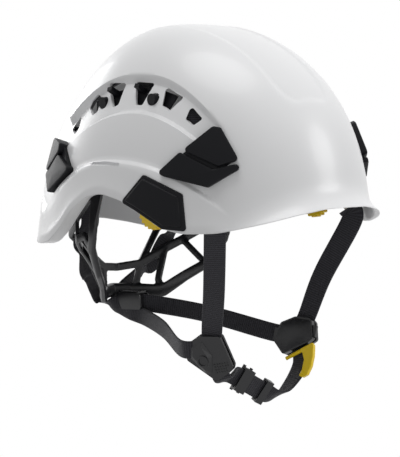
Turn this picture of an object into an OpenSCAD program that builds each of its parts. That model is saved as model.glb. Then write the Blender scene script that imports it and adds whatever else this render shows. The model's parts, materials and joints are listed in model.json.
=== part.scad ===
/* [Shell] */
// Distance from the ear axis to the forehead, on the dome
shell_front = 140; // [132:1:148]
// Distance from the ear axis to the back of the dome
shell_back = 127; // [120:1:134]
// Half of the dome's width
shell_half_width = 104; // [98:1:110]
// Height of the crown above the ear axis
shell_height = 158; // [150:1:166]
// Wall thickness of the moulded shell
shell_wall = 3; // [2.4:0.1:3.6]
// How far the front edge flares out as a brim
brim_flare = 11; // [6:0.5:14]
// Depth of the vent band below the dome
band_depth = 4.5; // [3:0.25:5]
// Depth of the side panel below the dome
panel_depth = 1.5; // [0.5:0.25:2.5]
// How far the rim stands proud of the dome
rim_rise = 1; // [0:0.25:2]
// Inward flange behind the ear arch
arch_flange = 7; // [0:0.5:8]

/* [Vents] */
// Corner radius of the vents
vent_corner = 1.6; // [1:0.1:2]
// Diameter of the studs that carry the shutters
stud_diameter = 8; // [6:0.5:9]
// Thickness of the sliding shutters
shutter_thickness = 1.6; // [1.2:0.1:2]
// Travel of a shutter from open to closed, in degrees
shutter_travel = 4.3; // [3:0.1:5]

/* [Lamp clips and covers] */
// Height of the lamp clips above the shell
clip_height = 5; // [4:0.5:7]
// Height of the side covers above the shell
cover_height = 4.5; // [3:0.5:6]

/* [Headband] */
// Room between the side of the dome and the forehead band
band_gap = 28.5; // [28:0.1:29]
// Thickness of the moulded band and of the arms
band_thickness = 2; // [1.6:0.1:2.4]
// Height of the forehead band
band_height = 22; // [18:1:26]
// Height of the sliding arms
arm_height = 10; // [8:0.5:12]
// Travel of the sliding arms
fit_travel = 24; // [12:1:24]
// Outer diameter of the adjustment wheels
wheel_diameter = 30; // [26:1:32]
// Thickness of the adjustment wheels
wheel_thickness = 4.5; // [3.5:0.25:5]
// Number of finger notches round a wheel
wheel_notches = 24; // [16:1:30]
// Number of teeth on the pinion
pinion_teeth = 13; // [11:1:15]
// Pitch radius of the pinion
pinion_radius = 6; // [5:0.25:6.5]
// Diameter of the pivot pins of the nape cradle
pivot_diameter = 4; // [3:0.25:5]
// Thickness of the nape cradle's bars
cradle_thickness = 2.6; // [2:0.2:3.2]
// Thickness of the forehead pad
pad_thickness = 7; // [5:0.5:9]

/* [Webbing] */
// Width of the chin and ear straps
strap_width = 15; // [12:1:18]
// Thickness of the chin and ear straps
strap_thickness = 1.6; // [1.2:0.1:2.2]
// Width of the cradle's webbing
cradle_web_width = 20; // [16:1:24]
// Thickness of the cradle's webbing
cradle_web_thickness = 1.4; // [1:0.1:1.8]

/* [Chin strap fittings] */
// Thickness of the moulded strap adjuster
adjuster_thickness = 8; // [7:0.5:10]
// Thickness of the buckle
buckle_thickness = 10; // [8:0.5:12]
// Travel of the buckle's release buttons
button_travel = 2; // [1:0.25:2.5]

/* [Hidden] */

// Gap between pieces that are fastened together
seat_gap = 0.3;
// Gap beside a piece that moves
run_gap = 0.5;
// Overlap that lets cutters pass clean through
cut_over = 1;
// Colours
shell_white = "whitesmoke";
trim_black = "#1d1d20";
web_black = "#2a2a2e";
accent_yellow = "#f2bd00";

function blend(a, b, k) = a + (b - a) * k;
function smooth(lo, hi, x) = let (k = max(0, min(1, (x - lo) / (hi - lo)))) k * k * (3 - 2 * k);
function unit(v) = v / norm(v);

// ---------------------------------------------------------------- the dome
// A meridian of the dome is named by its angle t from the front, and a point on it by its height z.
// Each meridian is a superellipse, squarer at the forehead and rounder at the back.
function dome_length(t) = cos(t) >= 0 ? shell_front : shell_back;
function rise_power(t) = blend(1.91, cos(t) >= 0 ? 2.8 : 1.7, cos(t) * cos(t));
function round_power(t) = blend(2.54, cos(t) >= 0 ? 1.9 : 1.81, cos(t) * cos(t));
function dome_fraction(t, z) = pow(max(0, 1 - pow(max(0, z) / shell_height, rise_power(t))), 1 / round_power(t));
function dome_point(t, z) = [
  dome_length(t) * cos(t) * dome_fraction(t, z),
  shell_half_width * sin(t) * dome_fraction(t, z),
  z
];
function dome_normal(t, p) =
  let (
    reach = max(0.001, norm([p.x / dome_length(t), p.y / shell_half_width])),
    pull = pow(reach, round_power(t) - 2) * round_power(t),
    lift = rise_power(t) * pow(max(0, p.z) / shell_height, rise_power(t) - 1) / shell_height
  )
  unit([pull * p.x / pow(dome_length(t), 2), pull * p.y / pow(shell_half_width, 2), lift]);

// Meridian that passes over the side point (x, z)
function meridian_at(x, z, t = 80, turns = 6) =
  turns == 0 ? t :
  meridian_at(
    x, z,
    acos(max(-1, min(1, x / ((x >= 0 ? shell_front : shell_back) * max(0.01, dome_fraction(t, z)))))),
    turns - 1
  );
// Point of the dome's side at (x, z), moved outwards by lift; side is -1 on the right and 1 on the left
function side_point(x, z, side, lift = 0) =
  let (t = side * meridian_at(x, z), p = dome_point(t, z))
  p + lift * dome_normal(t, p);
function side_normal(x, z, side) = let (t = side * meridian_at(x, z)) dome_normal(t, dome_point(t, z));

// Height of the shell's lower edge along the meridians: brim, temple, ear arch, corner and nape
rim_line = [
  [0, 33.5], [10, 33], [20, 29.5], [32, 23.5], [45, 17.7], [56, 16.7], [63, 20], [70, 30], [77, 37.5],
  [85, 41.3], [90, 39], [94, 34], [99.5, 26], [105, 13.5], [113, 4], [121, 1], [130, 0], [140, 0.5],
  [150, 2.2], [160, 6.5], [170, 9.8], [180, 11]
];
function rim_z(t) = lookup(abs(t), rim_line);
// Side features rise to a top and fall away towards both ends: ledge, ridge and outer arc of the vent band
function arch_z(t, top, top_at, fall_front, power_front, fall_rear, power_rear) =
  let (a = max(40, min(134, abs(t))))
  top - (a < top_at ? fall_front * pow((top_at - a) / 10, power_front) : fall_rear * pow((a - top_at) / 10, power_rear));
function ledge_z(t) = arch_z(t, 65.3, 80, 1.96, 2.1, 1.7, 2.27);
function ridge_z(t) = arch_z(t, 100, 77, 2.94, 2, 2.5, 1.85);
function outer_arc_z(t) = arch_z(t, 122.8, 79, 1.16, 2.6, 1.6, 2.2);
// Height over which the ledge, the ridge and the outer arc step in or out
ledge_step = 3.6;
ridge_step = 3.4;
arc_step = 4.5;
// The side features are full between the lamp clips and fade out beyond them
function side_share(t) = let (a = abs(t)) smooth(41, 50, a) * (1 - smooth(119, 133, a));
function row_share(t) = let (a = abs(t)) smooth(6, 44, a) * (1 - smooth(116, 134, a));
top_row = 118;
function row_z(t, share, feature) = blend(rim_z(t) + share * (top_row - rim_z(t)), feature, row_share(t));

// Outward flare of the lower edge: a wide brim in front, a small lip elsewhere
function flare(t) = let (a = abs(t)) blend(1.6, brim_flare, 1 - smooth(14, 52, a));
flare_reach = 22;
function flare_at(t, rise) = flare(t) * pow(max(0, 1 - rise / flare_reach), 3);
// Rows of the shell from the rim to the crown: each is [height, offset from the dome]
rim_rises = [0, 1.5, 3.5, 6.5, 11, 17];
crown_rows = 6;
function rim_squeeze(t) = min(1, (row_z(t, 0.32, ledge_z(t) - ledge_step) - rim_z(t) - 1.5) / 17.5);
function shell_row(t, k) =
  let (s = side_share(t), ledge = row_z(t, 0.36, ledge_z(t)), ridge = row_z(t, 0.7, ridge_z(t)),
       arc = row_z(t, 1, outer_arc_z(t)))
  k < 6 ? let (rise = rim_rises[k] * rim_squeeze(t)) [rim_z(t) + rise, flare_at(t, rise) + rim_rise * s * smooth(0, 6, rise)] :
  k == 6 ? [ledge - ledge_step, rim_rise * s] :
  k == 7 ? [ledge, -panel_depth * s] :
  k == 8 ? [(ledge + ridge - ridge_step) / 2, -panel_depth * s] :
  k == 9 ? [ridge - ridge_step, -panel_depth * s] :
  k == 10 ? [ridge, -band_depth * s] :
  k == 11 ? [(ridge + arc - arc_step) / 2, -band_depth * s] :
  k == 12 ? [arc - arc_step, -band_depth * s] :
  k == 13 ? [arc, 0] :
  let (start = asin(arc / shell_height)) [shell_height * sin(blend(start, 90, (k - 13) / (crown_rows + 1))), 0];
last_row = 13 + crown_rows;
function shell_point(t, k, lift) =
  let (r = shell_row(t, k), p = dome_point(t, r[0]))
  p + (r[1] + lift) * dome_normal(t, p);
// The flange turns in behind the rear half of the ear arch
function flange_at(t, k) =
  let (a = abs(t)) (k < 2 ? 1 : 0) * arch_flange * smooth(86, 100, a) * (1 - smooth(126, 142, a));

meridians = 72;
function meridian(i) = i * 360 / meridians;
function signed(t) = t > 180 ? t - 360 : t;
rows = last_row + 1;
// Faces between two neighbouring rings of points; ring numbers start at first
function ring_faces(first, count, flip) = [
  for (k = [0:count - 2]) for (i = [0:meridians - 1])
    let (a = first + k * meridians + i, b = first + k * meridians + (i + 1) % meridians, c = b + meridians, d = a + meridians)
    for (f = flip ? [[a, b, c], [a, c, d]] : [[c, b, a], [d, c, a]]) f
];

module shell_wall_solid() {
  outer = [for (k = [0:last_row]) for (i = [0:meridians - 1]) shell_point(signed(meridian(i)), k, 0)];
  inner = [
    for (k = [0:last_row]) for (i = [0:meridians - 1])
      let (t = signed(meridian(i))) shell_point(t, k, -shell_wall - flange_at(t, k))
  ];
  crown = [[0, 0, shell_height], [0, 0, shell_height - shell_wall]];
  n = rows * meridians;
  cap = [
    for (i = [0:meridians - 1])
      let (a = last_row * meridians + i, b = last_row * meridians + (i + 1) % meridians)
      for (f = [[2 * n, b, a], [n + a, n + b, 2 * n + 1]]) f
  ];
  rim = [
    for (i = [0:meridians - 1])
      let (a = i, b = (i + 1) % meridians)
      for (f = [[a, b, n + b], [a, n + b, n + a]]) f
  ];
  polyhedron(
    points = concat(outer, inner, crown),
    faces = concat(ring_faces(0, rows, false), ring_faces(n, rows, true), cap, rim)
  );
}

// Solid block with the shell's outer surface moved out by lift, used to seat what lies on the shell
module shell_block(lift) {
  outer = [for (k = [0:last_row]) for (i = [0:meridians - 1]) shell_point(signed(meridian(i)), k, lift)];
  n = rows * meridians;
  ends = [
    for (i = [0:meridians - 1])
      let (a = last_row * meridians + i, b = last_row * meridians + (i + 1) % meridians)
      for (f = [[n, b, a], [(a % meridians), (b % meridians), n + 1]]) f
  ];
  polyhedron(points = concat(outer, [[0, 0, shell_height + lift], [0, 0, 20]]), faces = concat(ring_faces(0, rows, false), ends));
}

// ---------------------------------------------------------------- vents
// Corners (x, z) of the vents on the side of the shell, from the back to the front
vents = [
  [[-38.7, 90], [-37.7, 85], [-40.7, 81], [-46.7, 83]],
  [[-20.7, 106], [-18.2, 103], [-17.7, 97], [-21.2, 95], [-27.2, 99], [-26.2, 102]],
  [[-7.7, 114.5], [2.8, 114.5], [3.3, 102.5], [0.3, 101], [-8.2, 111]],
  [[15.8, 115.5], [28.3, 115], [25.8, 103], [22.3, 103]],
  [[42.8, 111.5], [54.3, 106.5], [49.8, 100], [44.8, 102.5]],
  [[65.6, 98.5], [72.3, 93], [69.7, 90.5], [65.3, 93.5]]
];
stud_places = [[-11.7, 102.3], [34.5, 105.6]];
module vent_cutters(side) {
  for (vent = vents)
    hull()
      for (c = vent)
        translate([c[0], side * 40, c[1]]) rotate([-90 * side, 0, 0]) cylinder(r = vent_corner, h = 70, $fn = 16);
  for (s = stud_places)
    hull()
      translate([s[0], side * 40, s[1]]) rotate([-90 * side, 0, 0]) cylinder(d = stud_diameter + 2 * seat_gap, h = 70, $fn = 24);
}

module outer_shell() {
  color(shell_white) difference() {
    shell_wall_solid();
    vent_cutters(-1);
    vent_cutters(1);
  }
}

// ---------------------------------------------------------------- helpers for both sides
// What follows is drawn on the wearer's right, side -1, and mirrored for the left
module on_side(side) {
  if (side > 0) mirror([0, 1, 0]) children();
  else children();
}
// Round pad square to the right side of the dome at (x, z), from low to high above it, with a bevelled top
module pad(c, low, high, r, bevel) {
  n = side_normal(c[0], c[1], -1);
  translate(side_point(c[0], c[1], -1)) rotate([0, acos(n.z), atan2(n.y, n.x)]) {
    translate([0, 0, low]) cylinder(r = r, h = high - low - bevel, $fn = 12);
    translate([0, 0, high - bevel]) cylinder(r1 = r, r2 = r - bevel, h = bevel, $fn = 12);
  }
}
function middle(c) = [for (k = [0, 1]) let (v = [for (p = c) p[k]]) v * [for (p = c) 1] / len(c)];
// Plate that follows the dome: one wedge from each edge of the outline to its middle
module fan_plate(corners, low, high, r, bevel) {
  m = middle(corners);
  for (i = [0:len(corners) - 1])
    hull() {
      pad(corners[i], low, high, r, bevel);
      pad(corners[(i + 1) % len(corners)], low, high, r, bevel);
      pad(m, low, high, r, bevel);
    }
}

// Ribbon along points, each [point, direction of its width]
module ribbon(stations, width, thickness) {
  n = len(stations);
  along = [for (i = [0:n - 1]) unit(stations[min(i + 1, n - 1)][0] - stations[max(i - 1, 0)][0])];
  corners = [
    for (i = [0:n - 1])
      let (
        p = stations[i][0],
        side = unit(stations[i][1] - (stations[i][1] * along[i]) * along[i]),
        face = cross(along[i], side)
      )
      for (k = [[-1, -1], [1, -1], [1, 1], [-1, 1]]) p + side * k[0] * width / 2 + face * k[1] * thickness / 2
  ];
  sides = [
    for (i = [0:n - 2]) for (k = [0:3])
      let (a = 4 * i + k, b = 4 * i + (k + 1) % 4)
      for (f = [[a, b + 4, b], [a, a + 4, b + 4]]) f
  ];
  polyhedron(points = corners, faces = concat(sides, [[0, 1, 2, 3], [4 * n - 1, 4 * n - 2, 4 * n - 3, 4 * n - 4]]));
}
// Smooth curve through hand-placed points: steps pieces between neighbours
function curve_at(p, i, u) =
  let (a = p[max(i - 1, 0)], b = p[i], c = p[min(i + 1, len(p) - 1)], d = p[min(i + 2, len(p) - 1)])
  0.5 * ((2 * b) + (c - a) * u + (2 * a - 5 * b + 4 * c - d) * u * u + (3 * b - a - 3 * c + d) * u * u * u);
function curve(p, steps) = [for (i = [0:len(p) - 2]) for (k = [0:steps - 1]) curve_at(p, i, k / steps), p[len(p) - 1]];
// Stations of a ribbon whose points and width directions are both given by hand
function stations(points, widths, steps) =
  let (p = curve(points, steps), w = curve(widths, steps)) [for (i = [0:len(p) - 1]) [p[i], w[i]]];

// ---------------------------------------------------------------- shutters
// A shutter slides on a cone inside the vent band, about an axis square to the side of the shell
shutter_yaw = 7;
shutter_centre = [17.3, 18];
function inner_wall(r) = -side_point(shutter_centre[0], shutter_centre[1] + r, -1, -shell_wall - band_depth).y;
function stud_polar(s) = let (dx = (s[0] - shutter_centre[0]) * cos(shutter_yaw), dz = s[1] - shutter_centre[1]) [atan2(dx, dz), norm([dx, dz])];
shutter_width = 13;
shutter_inner = stud_polar(stud_places[0])[1] - shutter_width / 2 - 0.6;
shutter_outer = shutter_inner + shutter_width;
shutter_clearance = [3.45, 4];
shutter_axis = [shutter_centre[0], -inner_wall(shutter_inner) + shutter_clearance[0], shutter_centre[1]];
cone_slope = (inner_wall(shutter_inner) - shutter_clearance[0] - inner_wall(shutter_outer) + shutter_clearance[1]) / shutter_width;
// Ends of the plate and places of its thumb tabs, in degrees forward of the crown
shutter_ends = [-27, 19.2];
tab_angles = [-13.5, 1.6];
window_angles = [[-10.5, -6], [3.6, 7.5]];
tab_width = 4;
tab_length = 10;
stud_neck = 4;
stud_foot = 8;
module in_shutter_frame() {
  translate(shutter_axis) rotate([0, 0, shutter_yaw]) rotate([90, 0, 0]) rotate([0, 0, 90]) children();
}
function cone_at(r) = -cone_slope * (r - shutter_inner);
module sector(from, to, inner, outer, low, high) {
  rotate([0, 0, -to]) rotate_extrude(angle = to - from, $fn = 96) translate([inner, low]) square([outer - inner, high - low]);
}
module shutter() {
  slot = stud_neck + 2 * run_gap;
  color(trim_black) in_shutter_frame() {
    difference() {
      rotate([0, 0, -shutter_ends[1]])
        rotate_extrude(angle = shutter_ends[1] - shutter_ends[0], $fn = 96)
          polygon([
            [shutter_inner, cone_at(shutter_inner)], [shutter_outer, cone_at(shutter_outer)],
            [shutter_outer, cone_at(shutter_outer) - shutter_thickness],
            [shutter_inner, cone_at(shutter_inner) - shutter_thickness]
          ]);
      for (s = stud_places) {
        polar = stud_polar(s);
        sector(polar[0] - shutter_travel - 1, polar[0] + 1, polar[1] - slot / 2, polar[1] + slot / 2, -20, 20);
        for (end = [polar[0] - shutter_travel - 1, polar[0] + 1])
          rotate([0, 0, -end]) translate([polar[1], 0, -20]) cylinder(d = slot, h = 40, $fn = 24);
      }
      for (w = window_angles) sector(w[0], w[1], shutter_inner + 2, shutter_outer - 2, -20, 20);
    }
    for (a = tab_angles)
      rotate([0, 0, -a])
        translate([shutter_outer - 4, -tab_width / 2, cone_at(shutter_outer - 4) - shutter_thickness / 2])
          rotate([0, atan(cone_slope), 0]) cube([3, tab_width, tab_length]);
  }
}
module vent_shutter_right() { on_side(-1) shutter(); }
module vent_shutter_left() { on_side(1) shutter(); }

// Headed studs that hang the shutters: a head in the shell's round hole and a foot behind the shutter
module stud(s) {
  face = side_point(s[0], s[1], -1, -band_depth).y;
  wall = shell_wall / abs(side_normal(s[0], s[1], -1).y);
  polar = stud_polar(s);
  foot = shutter_axis.y - cone_at(polar[1]) / cos(shutter_yaw) + shutter_thickness + run_gap + 2 + cone_slope * stud_foot / 2;
  translate([s[0], 0, s[1]]) rotate([90, 0, 0]) {
    translate([0, 0, -face - wall]) cylinder(d = stud_diameter, h = wall + 1, $fn = 32);
    translate([0, 0, -foot]) cylinder(d = stud_neck, h = foot - face - 0.1, $fn = 32);
    translate([0, 0, -foot - 1.5]) cylinder(d = stud_foot, h = 1.5, $fn = 32);
  }
}
module shutter_studs() {
  color(trim_black) for (side = [-1, 1]) on_side(side) for (s = stud_places) stud(s);
}

// ---------------------------------------------------------------- lamp clips and side covers
// Outlines (x, z) of the clips' plates, square to the side
front_hook = [[76.5, 72.5], [87.5, 85], [90, 84.5], [102, 67], [95.5, 64]];
front_base = [[71.5, 68], [62, 57.3], [64, 56.5], [91, 50.5], [104, 61], [92.5, 57.5]];
rear_hook = [[-56, 73], [-44, 70.5], [-43.5, 67.5], [-58, 55]];
rear_base = [[-43, 62.5], [-27, 55.5], [-51, 40.5], [-59, 50]];
clip_corner = 2.2;
clip_bevel = 1;
module lamp_clip(hook, base) {
  color(trim_black) difference() {
    union() {
      fan_plate(hook, -4, clip_height, clip_corner, clip_bevel);
      fan_plate(base, -4, clip_height - 1, clip_corner, clip_bevel);
      fan_plate(concat(hook, [base[1], base[3]]), -4, 1.4, clip_corner - 0.6, 0.4);
    }
    shell_block(seat_gap);
  }
}
module front_lamp_clip_right() { on_side(-1) lamp_clip(front_hook, front_base); }
module front_lamp_clip_left() { on_side(1) lamp_clip(front_hook, front_base); }
module rear_lamp_clip_right() { on_side(-1) lamp_clip(rear_hook, rear_base); }
module rear_lamp_clip_left() { on_side(1) lamp_clip(rear_hook, rear_base); }

cover_outline = [[48.5, 52.8], [62, 47.5], [75, 41.8], [77, 31], [78.7, 21], [66, 21.8], [45, 33.5], [36, 37.3]];
module side_cover() {
  color(trim_black) difference() {
    fan_plate(cover_outline, -4, cover_height, 2.2, 1.6);
    shell_block(seat_gap);
  }
}
module side_cover_right() { on_side(-1) side_cover(); }
module side_cover_left() { on_side(1) side_cover(); }

// ---------------------------------------------------------------- webbing cradle
// Azimuths of the six anchors, and the level at which the webbing leaves them
anchor_azimuths = [40, 90, 138];
// The cross band lies a little ahead of the ears, clear of the shutters' studs
cross_lead = 6;
anchor_level = 80;
anchor_inset = 9;
crown_room = 34;
crown_level = shell_height - crown_room;
web_steps = 14;
function anchor_reach(az) = let (t = az < 90 ? atan2(tan(az) / shell_half_width, 1 / shell_front) : az > 90 ? 180 - atan2(tan(180 - az) / shell_half_width, 1 / shell_back) : 90)
  let (p = dome_point(t, anchor_level + 3)) norm([p.x, p.y]) - shell_wall - band_depth - anchor_inset;
// A band of webbing from the anchor at azimuth a over the crown to the anchor at azimuth b
module cradle_web(a, b, top, lead = 0) {
  across = [-sin((a + b - 180) / 2), cos((a + b - 180) / 2), 0];
  points = [
    for (i = [0:web_steps])
      let (
        phi = -90 + 180 * i / web_steps,
        az = phi < 0 ? a : b,
        reach = abs(sin(phi)) * anchor_reach(abs(az > 180 ? az - 360 : az))
      )
      [[reach * cos(az) + lead, reach * sin(az), anchor_level + (top - anchor_level) * pow(cos(phi), 0.8)], across]
  ];
  color(web_black) ribbon(points, cradle_web_width, cradle_web_thickness);
}
web_pitch = cradle_web_thickness + 2 * seat_gap;
module cradle_strap_right_diagonal() { cradle_web(-anchor_azimuths[0], anchor_azimuths[2], crown_level); }
module cradle_strap_left_diagonal() { cradle_web(anchor_azimuths[0], -anchor_azimuths[2], crown_level + web_pitch); }
module cradle_strap_cross() { cradle_web(-anchor_azimuths[1], anchor_azimuths[1], crown_level + 2 * web_pitch + seat_gap, cross_lead); }
// Moulded anchor: a socket open towards the crown, held against the wall
anchor_wall = 2.5;
anchor_drop = 14;
module anchor_box(from, to) { hull() translate(from) cube(to - from); }
module anchor_socket() {
  half = cradle_web_width / 2 + seat_gap;
  gap = cradle_web_thickness / 2 + seat_gap;
  anchor_box([-gap - anchor_wall, -half - anchor_wall, -anchor_drop], [-gap, half + anchor_wall, 0.4]);
  anchor_box([gap, -half - anchor_wall, -anchor_drop], [gap + 14, half + anchor_wall, 3]);
  for (k = [-1, 1])
    anchor_box([-gap, k > 0 ? half : -half - anchor_wall, -anchor_drop], [gap, k > 0 ? half + anchor_wall : -half, 3]);
  anchor_box([-gap, -half, -anchor_drop], [gap, half, -seat_gap]);
}
module cradle_anchors() {
  color(trim_black) intersection() {
    for (side = [-1, 1]) for (az = anchor_azimuths)
      translate([az == 90 ? cross_lead : 0, 0, 0]) rotate([0, 0, side * az]) translate([anchor_reach(az), 0, anchor_level]) anchor_socket();
    shell_block(-shell_wall - seat_gap);
  }
}

// ---------------------------------------------------------------- headband
// Plan of the forehead band: a superellipse in front, straight beside the ears
band_centre = 30;
band_front = 104;
band_half = shell_half_width - band_gap;
// Step from the band's outside in to the inner face of the arms
arm_setback = 10.7;
arm_inset = band_half - arm_setback;
band_power = 3;
band_rear = -10;
band_floor = 42;
band_steps = 20;
function band_xy(a, inset) = [
  band_centre + (band_front - band_centre - inset) * pow(cos(a), 2 / band_power),
  (band_half - inset) * sign(sin(a)) * pow(abs(sin(a)), 2 / band_power)
];
function band_arc(inset, end) = [for (i = [-band_steps:band_steps]) band_xy(end * i / band_steps, inset)];
// Wheel axle on the side of the band, and the level of the rack that its pinion drives
wheel_x = 42;
wheel_z = 32;
rack_z = wheel_z + pinion_radius;
rack_tooth = 2 * PI * pinion_radius / pinion_teeth;
tooth_depth = 1.3;
arm_outer = arm_inset + band_thickness;
arm_rear = -34;
arm_front = 50;
arm_level = rack_z + arm_height / 2 + tooth_depth;
pivot_x = -28;
pivot_z = arm_level;
guide_from = 18;
guide_to = 34;
shaft_diameter = 5;
lobe_radius = 9;
module forehead_band() {
  outer = concat([[band_rear, -band_half]], band_arc(0, 90), [[band_rear, band_half]]);
  inner = concat([[band_rear - 1, -band_half + band_thickness]], band_arc(band_thickness, 90), [[band_rear - 1, band_half - band_thickness]]);
  color(trim_black) {
    difference() {
      translate([0, 0, band_floor]) linear_extrude(band_height) polygon(outer);
      translate([0, 0, band_floor - cut_over]) linear_extrude(band_height + 2 * cut_over) polygon(inner);
      // Cooling slots across the forehead, and the sides cut down behind the temples
      for (a = [-24, -12, 0, 12, 24])
        rotate([0, 0, a]) translate([60, -4, band_floor + 6]) cube([60, 8, band_height - 12]);
      translate([band_rear - cut_over, -100, band_floor + 18]) cube([70, 200, band_height]);
    }
    for (side = [-1, 1]) on_side(side) {
      // Lobe that carries the wheel, and the sleeve in which the arm slides
      difference() {
        union() {
          translate([wheel_x, -band_half, wheel_z]) rotate([-90, 0, 0]) cylinder(r = lobe_radius, h = band_thickness, $fn = 48);
          translate([wheel_x - lobe_radius, -band_half, wheel_z]) cube([2 * lobe_radius, band_thickness, band_floor - wheel_z + 2]);
        }
        translate([wheel_x, -band_half - cut_over, wheel_z]) rotate([-90, 0, 0]) cylinder(d = shaft_diameter + 2 * run_gap, h = 12, $fn = 40);
      }
      difference() {
        translate([guide_from, -band_half + 1, arm_level - arm_height / 2 - tooth_depth - run_gap - 1.6])
          cube([guide_to - guide_from, band_half - arm_inset + 1.6, arm_height + tooth_depth + 2 * run_gap + 3.2]);
        translate([guide_from - cut_over, -arm_outer - run_gap, arm_level - arm_height / 2 - tooth_depth - run_gap])
          cube([guide_to - guide_from + 2 * cut_over, band_thickness + 2 * run_gap, arm_height + tooth_depth + 2 * run_gap]);
      }
    }
  }
}
module forehead_pad() {
  outer = band_arc(band_thickness + seat_gap, 40);
  inner = band_arc(band_thickness + pad_thickness, 38);
  m = len(inner) - 1;
  color(web_black) translate([0, 0, band_floor + 1]) linear_extrude(band_height - 2)
    polygon(concat(outer, [for (i = [0:m]) inner[m - i]]));
}
// Hangers hold the forehead band to the shell: two in front, two behind the temples
hangers = [[[105, -31.5, 56], [128, -38, 60]], [[2, -band_half - 1.3, 50], [2, -96, 54]]];
module headband_hangers() {
  color(trim_black) intersection() {
    for (side = [-1, 1]) on_side(side) for (h = hangers) {
      along = atan2(h[1].y - h[0].y, h[1].x - h[0].x);
      for (rise = [-4, 0, 4])
        hull() {
          translate(h[0] + [0, 0, rise]) rotate([0, 0, along]) cube([1, 9, 4], center = true);
          translate(h[1] + [0, 0, rise]) rotate([0, 0, along]) cube([8, 14, 4], center = true);
        }
    }
    shell_block(-shell_wall - seat_gap);
  }
}
// Toothed outline of the pinion: teeth of constant pitch, a little narrower than the gaps
function tooth_ring(n, root, tip, share) = [
  for (i = [0:n - 1]) for (k = [[-share, 0], [-share / 2, 1], [share / 2, 1], [share, 0]])
    let (a = 90 + 360 * (i + k[0] / 2) / n) (k[1] ? tip : root) * [cos(a), sin(a)]
];
// Thumb wheel and pinion are one moulding on one axle
module adjust_wheel(side) {
  color(accent_yellow) on_side(side) translate([wheel_x, 0, wheel_z]) rotate([90, 0, 0]) {
    translate([0, 0, band_half + run_gap])
      linear_extrude(wheel_thickness) polygon(tooth_ring(wheel_notches, wheel_diameter / 2 - 1.2, wheel_diameter / 2, 0.6));
    translate([0, 0, arm_inset]) linear_extrude(band_thickness) polygon(tooth_ring(pinion_teeth, pinion_radius - tooth_depth, pinion_radius + 0.8, 0.36));
    translate([0, 0, arm_inset]) cylinder(d = shaft_diameter, h = band_half - arm_inset + 2, $fn = 40);
    translate([0, 0, band_half + run_gap]) cylinder(r = 8.5, h = wheel_thickness + 0.8, $fn = 48);
  }
}
module adjust_wheel_right() { adjust_wheel(-1); }
module adjust_wheel_left() { adjust_wheel(1); }
// Sliding arm: a strip with a rack along its lower edge and an eye for the pivot pin
module sliding_arm(side) {
  low = arm_level - arm_height / 2;
  // Teeth stand where the pinion's gaps are, from the front end back to past the travel
  first = -floor((arm_front - wheel_x) / rack_tooth - 0.5);
  last = ceil((fit_travel + 5) / rack_tooth);
  color(trim_black) on_side(side) difference() {
    union() {
      translate([arm_rear + 6, -arm_outer, low]) cube([arm_front - arm_rear - 6, band_thickness, arm_height]);
      translate([arm_rear + 6, -arm_outer, arm_level]) rotate([-90, 0, 0]) cylinder(d = arm_height, h = band_thickness, $fn = 48);
      for (i = [first:last])
        translate([wheel_x - rack_tooth * (i - 0.5), -arm_outer, low]) rotate([-90, 0, 0])
          linear_extrude(band_thickness)
            polygon([[-0.9, -0.1], [-0.35, tooth_depth], [0.35, tooth_depth], [0.9, -0.1]]);
    }
    translate([pivot_x, -arm_outer - cut_over, pivot_z]) rotate([-90, 0, 0]) cylinder(d = pivot_diameter + 2 * seat_gap, h = 6, $fn = 32);
    for (x = [-14, 2]) translate([x, -arm_outer - cut_over, arm_level - 1.5]) cube([9, 6, 3]);
  }
}
module sliding_arm_right() { sliding_arm(-1); }
module sliding_arm_left() { sliding_arm(1); }
// Pins on which the nape cradle swings
cradle_pivot_y = arm_outer + run_gap + cradle_thickness / 2;
module pivot_pins() {
  color(trim_black) for (side = [-1, 1]) on_side(side) translate([pivot_x, 0, pivot_z]) rotate([90, 0, 0]) {
    translate([0, 0, arm_inset - seat_gap - 1.2]) cylinder(d = pivot_diameter + 3, h = 1.2, $fn = 32);
    translate([0, 0, arm_inset - seat_gap - 1]) cylinder(d = pivot_diameter, h = band_thickness + cradle_thickness + 2.5, $fn = 32);
    translate([0, 0, arm_outer + 2 * run_gap + cradle_thickness]) cylinder(d = pivot_diameter + 3, h = 1.2, $fn = 32);
  }
}

// ---------------------------------------------------------------- nape cradle
// Places of the lattice on the wearer's right, and its bars: [from, to, half widths]
lattice = [
  [-94, 0, -41.5], [-85, -15, -42], [-69, -29, -42.5], [-57, -41, -31], [-47, -53, -22], [-40, 3.6 - cradle_pivot_y, -3],
  [-34, 0.6 - cradle_pivot_y, 22], [pivot_x, -cradle_pivot_y, pivot_z], [-88, 0, -24], [-82, -18, -22], [-77, -38, -12],
  [-70, -50, -5], [-62, 8.6 - cradle_pivot_y, 2], [-90, -43, 3], [-66, 11.6 - cradle_pivot_y, 17],
  [-46, 4.6 - cradle_pivot_y, 31], [-73, -28, -34.5], [-52, 6.6 - cradle_pivot_y, 6], [-34, -cradle_pivot_y, 37]
];
bars = [
  [0, 1, 5, 5], [1, 2, 5, 4.6], [2, 3, 4.6, 4], [3, 4, 4, 3.6], [4, 5, 3.6, 3.6], [5, 6, 3.8, 4.4], [6, 7, 4.6, 6],
  [8, 9, 3, 3], [9, 10, 3, 3.2], [10, 11, 3.2, 3.2], [11, 12, 3.2, 3], [12, 17, 3, 3], [17, 5, 3, 3],
  [9, 13, 2.4, 2.6], [13, 14, 2.6, 2.8], [14, 15, 2.8, 3], [15, 18, 3, 3.6], [18, 7, 3.6, 5], [10, 16, 3, 2.6], [16, 2, 2.6, 3],
  [9, 1, 2.6, 3], [11, 4, 2.4, 2.4], [12, 14, 2.4, 2.4]
];
module lattice_disc(p, r) {
  translate(p) rotate([0, 90, atan2(p.y, p.x + 30)]) cylinder(r = r, h = cradle_thickness, center = true, $fn = 12);
}
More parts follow.
